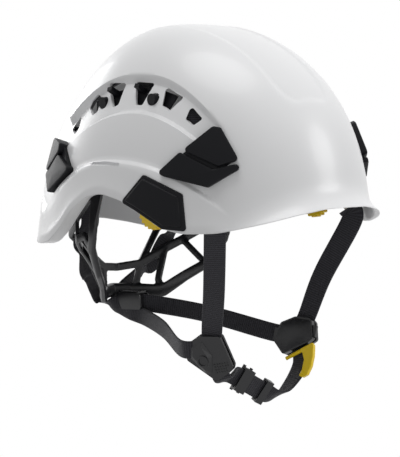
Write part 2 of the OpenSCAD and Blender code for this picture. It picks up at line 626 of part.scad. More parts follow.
module nape_cradle() {
  color(trim_black) difference() {
    for (side = [-1, 1]) on_side(side) for (b = bars)
      hull() {
        lattice_disc(lattice[b[0]], b[2]);
        lattice_disc(lattice[b[1]], b[3]);
      }
    translate([pivot_x, 0, pivot_z]) rotate([90, 0, 0]) cylinder(d = pivot_diameter + 2 * run_gap, h = 200, center = true, $fn = 24);
  }
}

// ---------------------------------------------------------------- chin strap fittings: places
function turn_x(v, a) = [v.x, v.y * cos(a) - v.z * sin(a), v.y * sin(a) + v.z * cos(a)];
function turn_z(v, a) = [v.x * cos(a) - v.y * sin(a), v.x * sin(a) + v.y * cos(a), v.z];
// Each fitting lies in a frame of its own: centre, lean and yaw; x runs forwards and z up
adjuster_at = [[60, -42, -72], 11, 25.5];
buckle_at = [[60, 42, -66], -17, 14];
module at_fitting(f) { translate(f[0]) rotate([f[1], 0, f[2]]) children(); }
function from_fitting(f, v) = f[0] + turn_z(turn_x(v, f[1]), f[2]);
function way(f, v) = from_fitting(f, v) - f[0];

// Moulded adjuster that joins the right front strap, the rear strap and the chin strap
adjuster_outline = [[-5.5, 15.5], [8.5, 16], [16.5, -5], [15.5, -8.5], [6, -15.5], [3, -16], [-17, -2.5], [-17.5, 8], [-8, 15]];
module rounded_plate(outline, r, from, to) {
  translate([0, to, 0]) rotate([90, 0, 0]) linear_extrude(to - from) offset(r = r, $fn = 16) offset(delta = -r) polygon(outline);
}
slot_half = strap_thickness / 2 + seat_gap;
module strap_adjuster_back() {
  color(trim_black) at_fitting(adjuster_at) rounded_plate(adjuster_outline, 2, slot_half, slot_half + 2.4);
}
module strap_adjuster_front() {
  color(trim_black) at_fitting(adjuster_at) {
    rounded_plate(adjuster_outline, 2, -slot_half - 2.2, -slot_half);
    // Raised deck towards the rear strap with a plain ring on it
    hull() {
      rounded_plate([[-15, 0], [-14, 7], [-5, 12], [2, 2], [1, -11], [-3, -12]], 1.5, -slot_half - 2.4, -slot_half - 2);
      rounded_plate([[-12, 1], [-11.5, 5], [-5.5, 9], [-1, 1], [-1, -8], [-3, -9]], 1.5, -slot_half - adjuster_thickness / 2, -slot_half - 2.2);
    }
    translate([-4.5, -slot_half - adjuster_thickness / 2, -2]) rotate([90, 0, 0])
      rotate_extrude($fn = 48) translate([3, 0]) square([1.1, 0.8]);
  }
}

// Dual-strength buckle: body towards the head, cover outside, two buttons and a yellow selector
buckle_outline = [[-1, 14], [11, 13.5], [13, 11.6], [16, -1], [12, -4], [-6.5, -14], [-16.5, -4], [-12, 9]];
button_reach = 1;
button_pocket = [9, 4.2, 9];
module buckle_pockets() {
  for (k = [-1, 1])
    translate([k > 0 ? 6.2 : -15.6 - cut_over, -slot_half - button_pocket.y / 2 - 1.6, k > 0 ? 0 : -3.5])
      cube([button_pocket.x + 2 + cut_over, button_pocket.y - 1, button_pocket.z]);
}
module buckle_body() {
  color(trim_black) at_fitting(buckle_at) difference() {
    union() {
      rounded_plate(buckle_outline, 2, -slot_half - 4, -slot_half);
      hull() {
        rounded_plate([[-3, 11], [9, 11], [12, 0], [-4, -10], [-12, -3]], 2, -slot_half - 4, -slot_half - 3.8);
        rounded_plate([[-2, 7], [5, 7], [7, 0], [-3, -5], [-7, -2]], 2, -slot_half - buckle_thickness / 2, -slot_half - 3.9);
      }
    }
    buckle_pockets();
  }
}
module buckle_cover() {
  color(trim_black) at_fitting(buckle_at) rounded_plate(buckle_outline, 2, slot_half, slot_half + 2.6);
}
// Buttons slide into the body's pockets from the front and from behind
module buckle_button(k) {
  color(trim_black) at_fitting(buckle_at)
    translate([k > 0 ? 6.2 + button_travel + run_gap : -16.8, -slot_half - button_pocket.y / 2 - 1.6 + run_gap, (k > 0 ? 0 : -3.5) + run_gap])
      cube([button_pocket.x + button_reach - 1.4, button_pocket.y - 1 - 2 * run_gap, button_pocket.z - 2 * run_gap]);
}
module buckle_button_front() { buckle_button(1); }
module buckle_button_rear() { buckle_button(-1); }
// Selector: a round bar along the lower edge of the buckle, on which a flat frame swings in front of the strap
selector_at = [4, 0, -11.5];
selector_slope = 31;
selector_bar = 2.8;
selector_plate = 2;
module buckle_selector() {
  face = -slot_half - selector_bar / 2 - selector_plate / 2 - 0.3;
  color(accent_yellow) at_fitting(buckle_at) translate(selector_at) rotate([0, -selector_slope, 0]) {
    translate([-10, -slot_half - selector_bar / 2, 0]) rotate([0, 90, 0]) cylinder(d = selector_bar, h = 24, $fn = 32);
    translate([10, face, -14]) cube([4, selector_plate, 14]);
    translate([2.5, face, -14]) cube([11.5, selector_plate, 2.4]);
    translate([1.5, face, -14]) cube([2.4, selector_plate, 14]);
  }
}

// ---------------------------------------------------------------- straps
// Front straps hang from the shell behind the temples; width runs fore and aft
// Room between the side of the dome and the places where the straps and their anchors are held
front_room = 36;
rear_room = 27;
front_side = shell_half_width - front_room;
rear_side = shell_half_width - rear_room;
front_top = [[91.2, -front_side - 0.1, 32.6], [93.2, -front_side - 2.1, 20]];
front_top_left = [[87.5, front_side - 2.8, 27.2], [89.6, front_side - 0.7, 18.5]];
module front_strap(p, end, end_way, w, twist, sag) {
  color(web_black) ribbon(
    concat(stations([p[0], p[1], (p[1] + end) / 2 + sag, end - 12 * end_way], [twist, twist, (twist + w) / 2, w], 4), [[end, w]]),
    strap_width, strap_thickness
  );
}
module front_strap_right() {
  front_strap(front_top, from_fitting(adjuster_at, [1.5, 0, 5]), way(adjuster_at, [0, 0, -1]), way(adjuster_at, [1, 0, 0]), [0.66, 0.75, 0], [0, 0, 0]);
}
module front_strap_left() {
  front_strap(front_top_left, from_fitting(buckle_at, [1.5, 0, 5]), way(buckle_at, [-0.35, 0, -0.93]), way(buckle_at, [0.93, 0, -0.35]), [0.8, 0.6, 0], [-3, 0, 0]);
}
// Anchors hold the tops of the straps against the inside of the shell
module front_strap_anchors() {
  color(trim_black) intersection() {
    for (side = [-1, 1]) on_side(side)
      for (k = [0:4])
        hull() {
          translate([91 - 0.5 * k, -front_side + 0.4 * k, 33.5 + 3 * k]) rotate([0, 0, 48]) cube([21, 5, 0.4], center = true);
          translate([90.5 - 0.5 * k, -front_side + 0.4 + 0.4 * k, 36.3 + 3 * k]) rotate([0, 0, 48]) cube([21 - k, 5, 0.4], center = true);
          translate([93, -front_side - 2, 36 + 2.5 * k]) rotate([0, 0, 48]) cube([16, 5, 0.4], center = true);
        }
    shell_block(-shell_wall - seat_gap);
  }
}
// Rear straps: down from the shell inside the cradle, out through it, under it and forwards to the fittings
rear_route = [
  [-55, -rear_side + 2, 56.8], [-57, -58, 42], [-61, -50.5, 26], [-66, -45, 12], [-77, -44, -1], [-80, -39, -9.5],
  [-85.2, -33.5, -23], [-89.5, -23, -30], [-95, -14.5, -40], [-96.5, -9.5, -48.5], [-91, -7, -51]
];
rear_ways = [
  [-1, -0.6, 0], [-1, -0.65, 0], [-0.8, -0.6, 0], [-0.5, -0.8, 0], [0, -0.95, 0.2], [0.4, -0.87, 0.2],
  [0.35, -0.85, 0.4], [0.2, -0.9, 0.35], [0.2, -1, 0.1], [0.25, -1, 0.1], [0.2, -0.9, 0.35]
];
rear_strap_width = strap_width - 2;
module rear_strap(side, last, widths, f, entry) {
  route = [for (q = rear_route) [q.x, -side * q.y, q.z]];
  ways = [for (q = rear_ways) [q.x, -side * q.y, q.z]];
  end = from_fitting(f, entry);
  color(web_black) ribbon(
    concat(stations(concat(route, last, [end - 14 * way(f, [1, 0, 0])]), concat(ways, widths, [way(f, [0, 0, 1])]), 3), [[end, way(f, [0, 0, 1])]]),
    rear_strap_width, strap_thickness
  );
}
module rear_strap_right() {
  rear_strap(-1, [[-83, -2.4, -52], [-71, -2.2, -55.5], [-53, -2.4, -58.8], [-12, -21, -62]], [[0, 0, 1], [0, 0, 1], [0, 0, 1], [0, 0, 1]], adjuster_at, [-8.5, 0, 5]);
}
module rear_strap_left() {
  rear_strap(1, [[-83, 2.4, -51.5], [-71, 2.2, -49.2], [-53, 2.4, -48.6], [-12, 21, -54]], [[0, 0, 1], [0, 0, 1], [0, 0, 1], [0, 0, 1]], buckle_at, [-6.5, 0, 2]);
}
module rear_strap_anchors() {
  color(trim_black) intersection() {
    for (side = [-1, 1]) on_side(side)
      for (k = [0:4])
        hull() {
          translate([-55, -rear_side - 1.6 * k, 59 + 2.4 * k]) rotate([0, 0, 30]) cube([21, 6, 0.4], center = true);
          translate([-55, -rear_side - 2 - 1.6 * k, 61.5 + 2.4 * k]) rotate([0, 0, 30]) cube([21 - k, 8, 0.4], center = true);
          translate([-57, -rear_side - 6, 64 + 1.5 * k]) rotate([0, 0, 30]) cube([16, 8, 0.4], center = true);
        }
    shell_block(-shell_wall - seat_gap);
  }
}
// Slider that keeps the two rear straps together below the cradle: two cheeks joined above the straps
slider_outline = [[-84, -42.5], [-57.5, -41], [-55.5, -53], [-77, -54.5]];
slider_half = strap_thickness + 2;
slider_wall = 1.4;
module nape_strap_slider() {
  color(trim_black) {
    for (side = [-1, 1])
      translate([0, side > 0 ? slider_half + slider_wall : -slider_half, 0]) rotate([90, 0, 0])
        linear_extrude(slider_wall) offset(r = 2, $fn = 16) offset(delta = -2) polygon(slider_outline);
    translate([-80, -slider_half - 0.5, -42.4]) rotate([0, -3, 0]) cube([20, 2 * slider_half + 1, slider_wall]);
  }
}
// Chin strap: from the adjuster round under the chin to the buckle
chin_route = [[61, -23, -86.5], [62.5, -14, -91], [65, 3, -100.5], [66, 13, -104.5], [66, 25, -101]];
chin_ways = [[0.5, 0.4, 0.77], [0.3, 0.42, 0.85], [0.4, 0.45, 0.8], [0.75, 0.25, 0.6], [0.95, 0.1, 0.3]];
module chin_strap() {
  start = from_fitting(adjuster_at, [4.5, 0, -5]);
  out = from_fitting(adjuster_at, [7.5, -0.2, -16]);
  finish = from_fitting(buckle_at, [3.5, -0.15, -5]);
  near = from_fitting(buckle_at, [6.2, 1, -19]);
  w = way(adjuster_at, [0.95, 0, 0.3]);
  v = way(buckle_at, [0.95, 0, 0.3]);
  color(web_black) ribbon(
    concat([[start, w]], stations(concat([out], chin_route, [near]), concat([w], chin_ways, [v]), 4), [[finish, v]]),
    strap_width - 1, strap_thickness
  );
}
// Ladder lock and keeper ride on the chin strap: x across it, y along it
module at_strap(p, along, across) {
  y = unit(along);
  x = unit(across - (across * y) * y);
  z = cross(x, y);
  translate(p) rotate([atan2(y.z, z.z), -asin(x.z), atan2(x.y, x.x)]) children();
}
module strap_loop(wide, long, wall, hole) {
  for (k = [-1, 1]) {
    translate([0, 0, k * (hole + wall / 2)]) cube([wide, long, wall], center = true);
    translate([k * (wide - wall) / 2, 0, 0]) cube([wall, long, 2 * hole], center = true);
  }
}
loop_side = 1.4;
module ladder_lock() {
  color(trim_black) at_strap(chin_route[1], chin_route[2] - chin_route[0], chin_ways[1]) {
    strap_loop(strap_width - 1 + 2 * (run_gap + loop_side), 9, loop_side, slot_half + 0.4);
    for (k = [-3.2, 3.2])
      translate([0, k, slot_half + 0.2 + loop_side]) rotate([0, 90, 0])
        cylinder(d = 2.4, h = strap_width + 5, center = true, $fn = 20);
  }
}
module strap_keeper() {
  color(trim_black) at_strap(chin_route[2], chin_route[3] - chin_route[1], chin_ways[2])
    strap_loop(strap_width - 1 + 2 * (run_gap + loop_side), 6, loop_side, slot_half + 0.4);
}

outer_shell();
vent_shutter_right();
vent_shutter_left();
shutter_studs();
front_lamp_clip_right();
front_lamp_clip_left();
rear_lamp_clip_right();
rear_lamp_clip_left();
side_cover_right();
side_cover_left();
cradle_strap_right_diagonal();
cradle_strap_left_diagonal();
cradle_strap_cross();
cradle_anchors();
forehead_band();
forehead_pad();
headband_hangers();
adjust_wheel_right();
adjust_wheel_left();
sliding_arm_right();
sliding_arm_left();
pivot_pins();
nape_cradle();
front_strap_right();
front_strap_left();
rear_strap_right();
rear_strap_left();
front_strap_anchors();
rear_strap_anchors();
nape_strap_slider();
strap_adjuster_back();
strap_adjuster_front();
buckle_body();
buckle_cover();
buckle_button_front();
buckle_button_rear();
buckle_selector();
chin_strap();
ladder_lock();
strap_keeper();
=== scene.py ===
"""Climbing helmet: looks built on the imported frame. Lengths are in millimetres; MM turns them into metres."""
import json
import math

import bmesh
import bpy
import numpy as np
from mathutils import Matrix, Vector


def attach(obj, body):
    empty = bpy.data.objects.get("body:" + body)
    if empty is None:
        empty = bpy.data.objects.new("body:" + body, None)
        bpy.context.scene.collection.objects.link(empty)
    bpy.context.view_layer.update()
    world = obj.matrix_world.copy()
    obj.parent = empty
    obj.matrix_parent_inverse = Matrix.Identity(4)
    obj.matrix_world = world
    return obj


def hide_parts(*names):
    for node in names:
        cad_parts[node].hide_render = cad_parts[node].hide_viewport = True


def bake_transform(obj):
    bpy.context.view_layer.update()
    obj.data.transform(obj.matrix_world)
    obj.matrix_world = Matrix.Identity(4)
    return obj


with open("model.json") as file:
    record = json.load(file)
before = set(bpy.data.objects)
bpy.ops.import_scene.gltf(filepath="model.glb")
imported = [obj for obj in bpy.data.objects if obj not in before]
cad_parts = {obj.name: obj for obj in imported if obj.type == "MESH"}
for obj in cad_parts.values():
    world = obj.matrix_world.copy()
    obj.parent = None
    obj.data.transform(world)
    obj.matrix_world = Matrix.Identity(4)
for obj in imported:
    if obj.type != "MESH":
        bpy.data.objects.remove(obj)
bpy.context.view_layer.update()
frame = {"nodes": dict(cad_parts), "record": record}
NODES = frame["nodes"]
MM = 0.001
ROOT = "helmet"


# ---------------------------------------------------------------- materials
def material(name, slot, colour, roughness, specular=0.5, grain=0.0, grain_size=900.0, coat=0.0, sheen=0.0):
    """Plastic or cloth: one Principled shader, with a fine bump where the surface has a grain."""
    mat = bpy.data.materials.new(name)
    mat.use_nodes = True
    shader = mat.node_tree.nodes["Principled BSDF"]
    shader.inputs["Base Color"].default_value = (*colour, 1)
    shader.inputs["Roughness"].default_value = roughness
    shader.inputs["Specular IOR Level"].default_value = specular
    shader.inputs["Coat Weight"].default_value = coat
    shader.inputs["Sheen Weight"].default_value = sheen
    if grain:
        noise = mat.node_tree.nodes.new("ShaderNodeTexNoise")
        noise.inputs["Scale"].default_value = grain_size
        noise.inputs["Detail"].default_value = 3
        bump = mat.node_tree.nodes.new("ShaderNodeBump")
        bump.inputs["Strength"].default_value = grain
        bump.inputs["Distance"].default_value = 0.0002
        mat.node_tree.links.new(noise.outputs["Fac"], bump.inputs["Height"])
        mat.node_tree.links.new(bump.outputs["Normal"], shader.inputs["Normal"])
    return mat


def woven(name, colour):
    """Webbing: ribs across the band and fine columns along it, from the UVs in millimetres; the colour carries
    painted light and shade along the ribs.
    """
    mat = material(name, "webbing_black", colour, 0.75, specular=0.3, sheen=0.15)
    nodes, links = mat.node_tree.nodes, mat.node_tree.links
    uv = nodes.new("ShaderNodeUVMap")
    uv.uv_map = "weave"
    split = nodes.new("ShaderNodeSeparateXYZ")
    links.new(uv.outputs["UV"], split.inputs["Vector"])

    def wave(axis, pitch):
        scale = nodes.new("ShaderNodeMath")
        scale.operation = "MULTIPLY"
        scale.inputs[1].default_value = 2 * math.pi / pitch
        links.new(split.outputs[axis], scale.inputs[0])
        sine = nodes.new("ShaderNodeMath")
        sine.operation = "SINE"
        links.new(scale.outputs[0], sine.inputs[0])
        return sine

    ribs = wave("X", 1.6)
    product = nodes.new("ShaderNodeMath")
    product.operation = "MULTIPLY"
    links.new(ribs.outputs[0], product.inputs[0])
    links.new(wave("Y", 1.2).outputs[0], product.inputs[1])
    bump = nodes.new("ShaderNodeBump")
    bump.inputs["Strength"].default_value = 0.55
    bump.inputs["Distance"].default_value = 0.0003
    links.new(product.outputs[0], bump.inputs["Height"])
    links.new(bump.outputs["Normal"], nodes["Principled BSDF"].inputs["Normal"])
    # Painted light and shade: the colour runs from half to 1.6 times the webbing's own with the rib wave, dark
    # and light stripes standing in for the shading of the ribs.
    painted_rib_shade = nodes.new("ShaderNodeMix")
    painted_rib_shade.data_type = "RGBA"
    painted_rib_shade.inputs["A"].default_value = (*[0.5 * c for c in colour], 1)
    painted_rib_shade.inputs["B"].default_value = (*[1.6 * c for c in colour], 1)
    spread = nodes.new("ShaderNodeMath")
    spread.operation = "MULTIPLY_ADD"
    spread.inputs[1].default_value = 0.5
    spread.inputs[2].default_value = 0.5
    links.new(ribs.outputs[0], spread.inputs[0])
    links.new(spread.outputs[0], painted_rib_shade.inputs["Factor"])
    links.new(painted_rib_shade.outputs["Result"], nodes["Principled BSDF"].inputs["Base Color"])
    return mat


WHITE = material("shell_white", "shell_white", (0.86, 0.863, 0.872), 0.34, specular=0.4, coat=0.1)
BLACK = material("trim_black", "trim_black", (0.006, 0.0062, 0.0078), 0.46, specular=0.12, grain=0.2)
SATIN = material("fitting_black", "trim_black", (0.0085, 0.0086, 0.0105), 0.34, specular=0.42, grain=0.12)
YELLOW = material("accent_yellow", "accent_yellow", (1.0, 0.7, 0.005), 0.36)
WEB = woven("webbing_black", (0.024, 0.0235, 0.029))
FABRIC = material("pad_fabric", "pad_fabric", (0.02, 0.02, 0.024), 0.9, grain=0.6, grain_size=1500, sheen=0.3)
THREAD = material("thread", "webbing_black", (0.03, 0.03, 0.035), 0.6)
SLOT_LOOK = {
    "shell_white": WHITE, "trim_black": BLACK, "accent_yellow": YELLOW,
    "webbing_black": WEB, "pad_fabric": FABRIC,
}
SLOT_OF = {part["node"]: part["material_slot"] for part in frame["record"]["subparts"]}


# ---------------------------------------------------------------- mesh helpers
def mesh_object(name, points, faces, mat, slot, smooth_angle=40.0):
    """Object from points in millimetres, shaded smooth up to smooth_angle."""
    mesh = bpy.data.meshes.new(name)
    mesh.from_pydata([tuple(MM * c for c in p) for p in points], [], faces)
    mesh.validate()
    bm = bmesh.new()
    bm.from_mesh(mesh)
    bmesh.ops.recalc_face_normals(bm, faces=bm.faces)
    bm.to_mesh(mesh)
    bm.free()
    obj = bpy.data.objects.new(name, mesh)
    bpy.context.scene.collection.objects.link(obj)
    dress(obj, mat, smooth_angle)
    return obj


def dress(obj, mat, smooth_angle=40.0):
    obj.data.materials.clear()
    obj.data.materials.append(mat)
    obj.data.shade_smooth()
    obj.data.set_sharp_from_angle(angle=math.radians(smooth_angle))


def apply_modifiers(obj):
    evaluated = obj.evaluated_get(bpy.context.evaluated_depsgraph_get())
    mesh = bpy.data.meshes.new_from_object(evaluated)
    obj.modifiers.clear()
    old = obj.data
    obj.data = mesh
    bpy.data.meshes.remove(old)
    return obj


def combine(obj, tool, operation):
    """Boolean of obj with a closed tool mesh, which is used up."""
    modifier = obj.modifiers.new("boolean", "BOOLEAN")
    modifier.operation = operation
    modifier.solver = "EXACT"
    modifier.object = tool
    apply_modifiers(obj)
    bpy.data.objects.remove(tool)


def fuse(obj, voxel, rounds):
    """One skin over all of the mesh, eased by some rounds of smoothing."""
    skin_over = obj.modifiers.new("skin", "REMESH")
    skin_over.mode = "VOXEL"
    skin_over.voxel_size = voxel * MM
    skin_over.use_smooth_shade = True
    ease = obj.modifiers.new("relax", "SMOOTH")
    ease.factor = 0.5
    ease.iterations = rounds


def node_copy(node, name):
    """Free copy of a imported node's mesh, to be worked on and put in its place."""
    obj = bpy.data.objects.new(name, NODES[node].data.copy())
    obj.data.transform(NODES[node].matrix_world)
    bpy.context.scene.collection.objects.link(obj)
    return obj


def unit(v):
    return v / np.linalg.norm(v)


def smooth(low, high, x):
    k = np.clip((x - low) / (high - low), 0.0, 1.0)
    return k * k * (3 - 2 * k)


def mix(a, b, k):
    return a + (b - a) * k


# ---------------------------------------------------------------- shell: the solid's formulas, finer rows
FRONT, BACK, HALF, TALL = 140.0, 127.0, 104.0, 158.0
WALL, BAND, PANEL, RIM_RISE, FLANGE, BRIM = 3.0, 4.5, 1.5, 1.0, 7.0, 11.0
MERIDIANS, CROWN_ROWS = 288, 44
# Height of the lower edge (second row) at angles from the front (first row)
RIM_T = [
    0, 10, 20, 32, 45, 56, 63, 70, 77, 85, 90,
    94, 99.5, 105, 113, 121, 130, 140, 150, 160, 170, 180,
]
RIM_Z = [
    33.5, 33, 29.5, 23.5, 17.7, 16.7, 20, 30, 37.5, 41.3, 39,
    34, 26, 13.5, 4, 1, 0, 0.5, 2.2, 6.5, 9.8, 11,
]


def dome(t, z):
    """Point and normal of the dome on the meridian t (degrees from the front) at the height z."""
    c, s = math.cos(math.radians(t)), math.sin(math.radians(t))
    length = FRONT if c >= 0 else BACK
    rise = mix(1.91, 2.8 if c >= 0 else 1.7, c * c)
    turn = mix(2.54, 1.9 if c >= 0 else 1.81, c * c)
    part = max(0.0, 1 - (max(0.0, z) / TALL) ** rise) ** (1 / turn)
    p = np.array([length * c * part, HALF * s * part, z])
    reach = max(0.001, math.hypot(p[0] / length, p[1] / HALF))
    pull = reach ** (turn - 2) * turn
    lift = rise * (max(0.0, z) / TALL) ** (rise - 1) / TALL
    return p, unit(np.array([pull * p[0] / length**2, pull * p[1] / HALF**2, lift]))


def rim(t):
    """Height of the lower edge: the solid's straight stretches, rounded over a few degrees."""
    return float(np.mean(np.interp(np.abs(t + np.linspace(-2.2, 2.2, 9)), RIM_T, RIM_Z)))


def arch(t, top, top_at, fall_front, power_front, fall_rear, power_rear):
    a = min(134.0, max(40.0, abs(t)))
    if a < top_at:
        return top - fall_front * ((top_at - a) / 10) ** power_front
    return top - fall_rear * ((a - top_at) / 10) ** power_rear


def side_rows(t):
    """Heights of ledge, ridge and outer arc on a meridian, and how strong these features are there."""
    a = abs(t)
    share = smooth(6, 44, a) * (1 - smooth(116, 134, a))
    strength = smooth(41, 50, a) * (1 - smooth(119, 133, a))
    low = rim(t)
    features = (
        arch(t, 65.3, 80, 1.96, 2.1, 1.7, 2.27),
        arch(t, 100, 77, 2.94, 2, 2.5, 1.85),
        arch(t, 122.8, 79, 1.16, 2.6, 1.6, 2.2),
    )
    plain = (0.36, 0.7, 1.0)
    return [mix(low + k * (118 - low), f, share) for k, f in zip(plain, features)], strength


def profile(t):
    """(height, offset from the dome, wall thickness) from the rim to the crown on one meridian."""
    (ledge, ridge, arc), s = side_rows(t)
    low = rim(t)
    a = abs(t)
    flare = mix(1.6, BRIM, 1 - smooth(14, 52, a))
    flange = FLANGE * smooth(86, 100, a) * (1 - smooth(126, 142, a))
    squeeze = min(1.0, (ledge - 3.6 - low - 1.5) / 17.5)
    knots = [(low, None), (low + 17 * squeeze, None), (ledge - 3.6, RIM_RISE * s), (ledge, -PANEL * s),
             ((ledge + ridge - 3.4) / 2, -PANEL * s), (ridge - 3.4, -PANEL * s), (ridge, -BAND * s),
             ((ridge + arc - 4.5) / 2, -BAND * s), (arc - 4.5, -BAND * s), (arc, 0.0)]
    counts = [14, 3, 7, 5, 5, 7, 6, 6, 8]
    rows = []
    for (z0, o0), (z1, o1), count in zip(knots, knots[1:], counts):
        for i in range(count):
            k = i / count
            if o0 is None:
                k = k**1.3 if o1 is None else k
            z = mix(z0, z1, k)
            rise = z - low
            if o0 is None:
                base = RIM_RISE * s * smooth(0, 6, rise)
            else:
                base = mix(o0, o1, mix(k, smooth(0, 1, k), 0.4))
            lift = base + flare * max(0.0, 1 - rise / 22) ** 3
            rows.append((z, lift, WALL + flange * (1 - smooth(1.5, 3.6, rise))))
    start = math.asin(arc / TALL)
    for i in range(CROWN_ROWS):
        rows.append((TALL * math.sin(mix(start, math.pi / 2, i / CROWN_ROWS)), 0.0, WALL))
    return rows


def tongue(p):
    """Shallow recess along the crown, with a rounded front end."""
    x, y = p[0], abs(p[1])
    ahead = max(0.0, (x - 91) / 24)
    half = 24 * max(0.0, 1 - ahead**3) ** (1 / 3) if ahead < 1 else 0.0
    edge = min(half - y, (115 - x) * 1.0)
    return 1.3 * smooth(-0.2, 2.6, edge) * smooth(-45, 25, x) * smooth(80, 88, p[2])


def shell_mesh():
    """Closed wall: outer surface, inner surface, and a rounded edge between them."""
    count = MERIDIANS
    outer, inner = [], []
    for i in range(count):
        t = 360 * i / count
        t = t - 360 if t > 180 else t
        rows = profile(t)
        for z, lift, wall in rows:
            p, normal = dome(t, z)
            recess = tongue(p)
            outer.append(p + (lift - recess) * normal)
            inner.append(p + (lift - wall - recess) * normal)
        # Round the edge: pull the first rows of both surfaces towards each other
        base = len(outer) - len(rows)
        middle = (outer[base] + inner[base]) / 2
        for row, pull in ((0, 0.55), (1, 0.12)):
            outer[base + row] = mix(outer[base + row], middle, pull * min(1.0, 3 / rows[0][2]))
            inner[base + row] = mix(inner[base + row], middle, pull * min(1.0, 3 / rows[0][2]))
    rows_count = len(outer) // count
    top = TALL - tongue((0, 0, TALL))
    points = outer + inner + [np.array([0, 0, top]), np.array([0, 0, top - WALL])]
    total = count * rows_count
    faces = []
    for i in range(count):
        j = (i + 1) % count
        for r in range(rows_count - 1):
            a, b = i * rows_count + r, j * rows_count + r
            c, d = b + 1, a + 1
            faces.append((a, b, c, d))
            faces.append((total + d, total + c, total + b, total + a))
        a, b = i * rows_count, j * rows_count
        faces.append((total + a, total + b, b, a))
        a, b = a + rows_count - 1, b + rows_count - 1
        faces.append((a, b, 2 * total))
        faces.append((total + b, total + a, 2 * total + 1))
    return points, faces


VENTS = [
    [[-38.7, 90], [-37.7, 85], [-40.7, 81], [-46.7, 83]],
    [[-20.7, 106], [-18.2, 103], [-17.7, 97], [-21.2, 95], [-27.2, 99], [-26.2, 102]],
    [[-7.7, 114.5], [2.8, 114.5], [3.3, 102.5], [0.3, 101], [-8.2, 111]],
    [[15.8, 115.5], [28.3, 115], [25.8, 103], [22.3, 103]],
    [[42.8, 111.5], [54.3, 106.5], [49.8, 100], [44.8, 102.5]],
    [[65.6, 98.5], [72.3, 93], [69.7, 90.5], [65.3, 93.5]],
]
STUDS = [[-11.7, 102.3], [34.5, 105.6]]


def rounded(corners, radius, steps=5):
    """Outline grown by radius with round corners: the hull of discs at the corners."""
    ring = [
        (x + radius * math.cos(a), z + radius * math.sin(a))
        for x, z in corners
        for a in np.linspace(0, 2 * math.pi, 4 * steps, endpoint=False)
    ]
    ring = sorted(set(ring))

    def turns_right(a, b, c):
        return (b[0] - a[0]) * (c[1] - a[1]) <= (b[1] - a[1]) * (c[0] - a[0])

    def chain(points):
        out = []
        for p in points:
            while len(out) > 1 and turns_right(out[-2], out[-1], p):
                out.pop()
            out.append(p)
        return out[:-1]

    return chain(ring) + chain(ring[::-1])


def sides(n, rows):
    """Side faces between stacked rings of n points."""
    return [
        (r * n + i, r * n + (i + 1) % n, (r + 1) * n + (i + 1) % n, (r + 1) * n + i)
        for r in range(rows) for i in range(n)
    ]


def circle(radius, steps):
    turns = np.linspace(0, 2 * math.pi, steps, endpoint=False)
    return [(radius * math.cos(a), radius * math.sin(a)) for a in turns]


def prism(outline, y0, y1):
    """Closed prism of an outline (x, z) between two y planes."""
    n = len(outline)
    points = [(x, y, z) for y in (y0, y1) for x, z in outline]
    return points, [tuple(range(n))[::-1], tuple(range(n, 2 * n))] + sides(n, 1)


def joined(parts):
    points, faces = [], []
    for p, f in parts:
        base = len(points)
        points += list(p)
        faces += [tuple(base + i for i in face) for face in f]
    return points, faces


def meridian(x, z):
    """Meridian on which the dome passes through (x, z)."""
    low, high = 0.5, 179.5
    for _ in range(26):
        middle = (low + high) / 2
        low, high = (middle, high) if dome(middle, z)[0][0] > x else (low, middle)
    return (low + high) / 2


def skin(t, z):
    """Offset of the shell's outer face from the dome at the height z of a meridian."""
    rows = profile(t)
    return float(np.interp(z, [r[0] for r in rows], [r[1] for r in rows]))


def vent_cutter(outline, side, depth=9.8, back=9.0):
    """Hole whose rear flank leans back behind the outer face, or a hollow of a smaller depth."""
    xs = [x for x, _ in outline]
    x0, wide = min(xs), max(xs) - min(xs)
    n = len(outline)
    rings = [[], [], []]
    for x, z in outline:
        t = meridian(x, z)
        face = dome(t, z)[0][1] + skin(t, z)
        lean = 0.95 * (1 - (x - x0) / wide)
        rings[0].append((x, side * 112, z))
        rings[1].append((x, side * (face - 0.8), z))
        rings[2].append((x - back * lean, side * (face - depth), z))
    points = rings[0] + rings[1] + rings[2]
    points += [tuple(np.mean(rings[0], axis=0)), tuple(np.mean(rings[2], axis=0))]
    faces = sides(n, 2)
    faces += [((i + 1) % n, i, 3 * n) for i in range(n)]
    faces += [(2 * n + i, 2 * n + (i + 1) % n, 3 * n + 1) for i in range(n)]
    return points, faces


def build_shell():
    shell = mesh_object("shell", *shell_mesh(), WHITE, "shell_white")
    cutters = []
    for side in (-1, 1):
        for corners in VENTS:
            cutters.append(vent_cutter(rounded(corners, 1.6), side))
        for x, z in STUDS:
            cutters.append(prism(rounded([(x, z)], 4.3, 8), side * 40, side * 110))
        # Long hollow along the ledge
        cutters.append(vent_cutter(rounded([(-1.5, 61.0), (11, 62.2), (24.5, 61.7)], 1.0, 4), side, 1.5, 0))
    combine(shell, mesh_object("cutter", *joined(cutters), WHITE, "shell_white"), "DIFFERENCE")
    dress(shell, WHITE, 32)
    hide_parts("outer_shell")
    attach(shell, ROOT)
    return shell


shell = build_shell()

# ---------------------------------------------------------------- lamp clips and side covers
def inset(corners, amount, radius, steps=6):
    """Outline moved inwards by amount, with its outer corners rounded to radius."""
    pts = [np.array(c, float) for c in corners]
    if sum(a[0] * b[1] - b[0] * a[1] for a, b in zip(pts, pts[1:] + pts[:1])) < 0:
        pts = pts[::-1]
    out = []
    for i, p in enumerate(pts):
        a, b = unit(p - pts[i - 1]), unit(pts[(i + 1) % len(pts)] - p)
        na, nb = np.array([-a[1], a[0]]), np.array([-b[1], b[0]])
        bisector = unit(na + nb)
        spread = max(0.4, bisector @ na)
        corner = p + bisector * amount / spread
        if a[0] * b[1] - a[1] * b[0] > 0.05:
            hub = corner + bisector * radius / spread
            start, end = math.atan2(-na[1], -na[0]), math.atan2(-nb[1], -nb[0])
            end += 2 * math.pi if end < start else 0
            for t in np.linspace(start, end, steps):
                out.append(hub + radius * np.array([math.cos(t), math.sin(t)]))
        else:
            out += [corner] * steps
    return np.array(out)


